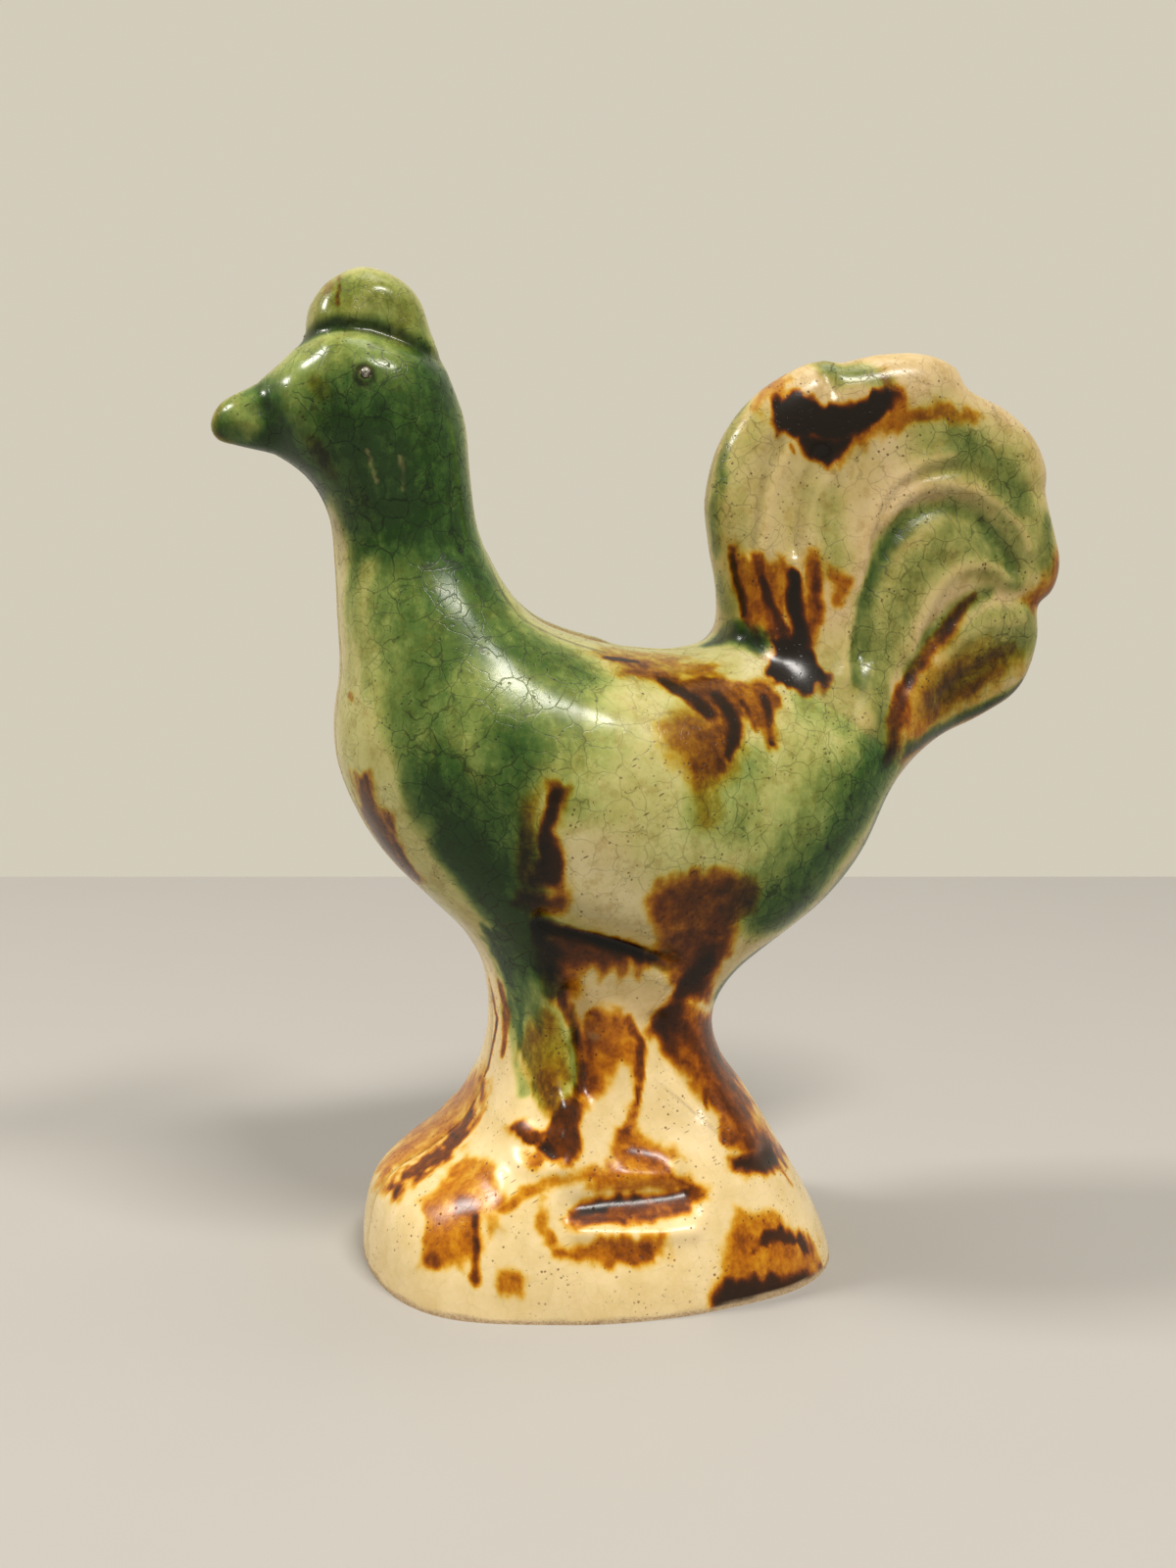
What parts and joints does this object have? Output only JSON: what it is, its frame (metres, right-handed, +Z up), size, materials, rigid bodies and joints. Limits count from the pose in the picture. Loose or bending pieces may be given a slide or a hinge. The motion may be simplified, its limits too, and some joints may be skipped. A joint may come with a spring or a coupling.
{
  "type": "rooster figurine",
  "caption": "Standing rooster figurine in glazed creamware: hollow body on a flared mound base, upright fan tail, rounded comb, applied bead eyes.",
  "frame": {"origin": "middle of the bounding box, on the plane of the foot rim", "axes": "+Z up, the bird faces -X with its tail to +X, and its own left side is -Y"},
  "size_m": [0.123, 0.0586, 0.1396],
  "materials": {
    "body_glaze": "glossy crazed lead glaze, green to cream with brown splashes",
    "tail_glaze": "glossy crazed lead glaze, straw and green with brown splashes",
    "base_glaze": "glossy crazed lead glaze, cream with amber and purple-brown splashes",
    "comb_glaze": "glossy lead glaze, yellow-green",
    "eye_glaze": "glossy glaze bead",
    "bare_clay": "unglazed fired clay"
  },
  "bodies": {
    "root": {"bird_left_half": "body_glaze", "bird_right_half": "body_glaze", "tail_left_half": "tail_glaze", "tail_right_half": "tail_glaze", "base_left_half": "base_glaze", "base_right_half": "base_glaze", "comb": "comb_glaze", "left_eye": "eye_glaze", "right_eye": "eye_glaze", "front_seam_roll": "bare_clay", "back_seam_roll": "bare_clay", "rear_seam_roll": "bare_clay", "base_front_seam_roll": "bare_clay", "base_rear_seam_roll": "bare_clay"}
  },
  "joints": []
}
